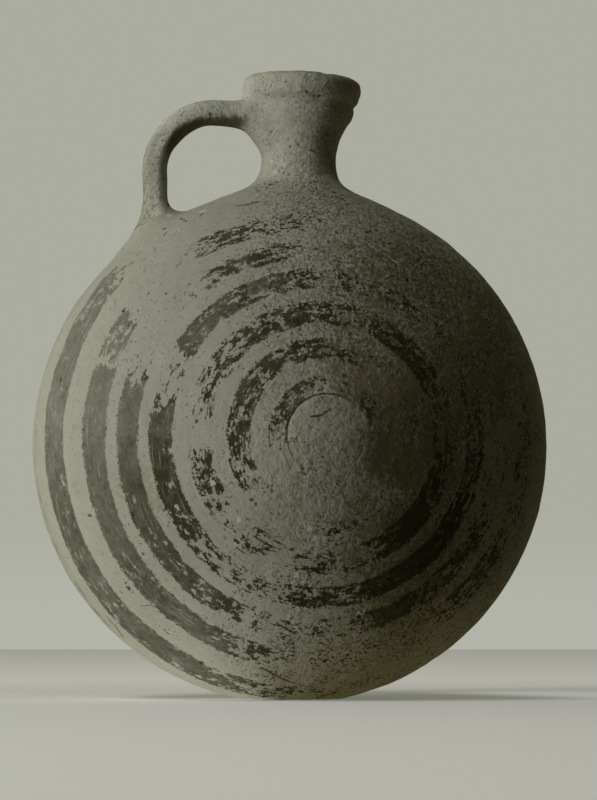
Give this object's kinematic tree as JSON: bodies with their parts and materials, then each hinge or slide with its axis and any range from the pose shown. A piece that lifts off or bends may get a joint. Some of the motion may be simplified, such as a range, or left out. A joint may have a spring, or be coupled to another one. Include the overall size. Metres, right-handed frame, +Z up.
{
  "type": "pottery flask-jug",
  "caption": "Tall hand-made pottery jug: a round, lens-shaped upright body with painted concentric rings, a short flared neck with a rolled lip and a strap handle from neck to shoulder.",
  "frame": {"origin": "middle of the worn flat under the body, below the middle of the jug's bounding box", "axes": "+Z up along the neck, -Y out of the painted face with the closing disc, -X towards the handle"},
  "size_m": [0.245, 0.1776, 0.2966],
  "materials": {
    "painted_clay": "matte fired clay with worn dark painted rings",
    "plain_clay": "matte fired clay"
  },
  "bodies": {
    "root": {"front_bowl": "painted_clay", "back_bowl": "painted_clay", "closing_disc": "painted_clay", "neck": "plain_clay", "neck_collar": "plain_clay", "handle": "plain_clay", "upper_handle_wad": "plain_clay", "lower_handle_wad": "plain_clay"}
  },
  "joints": []
}
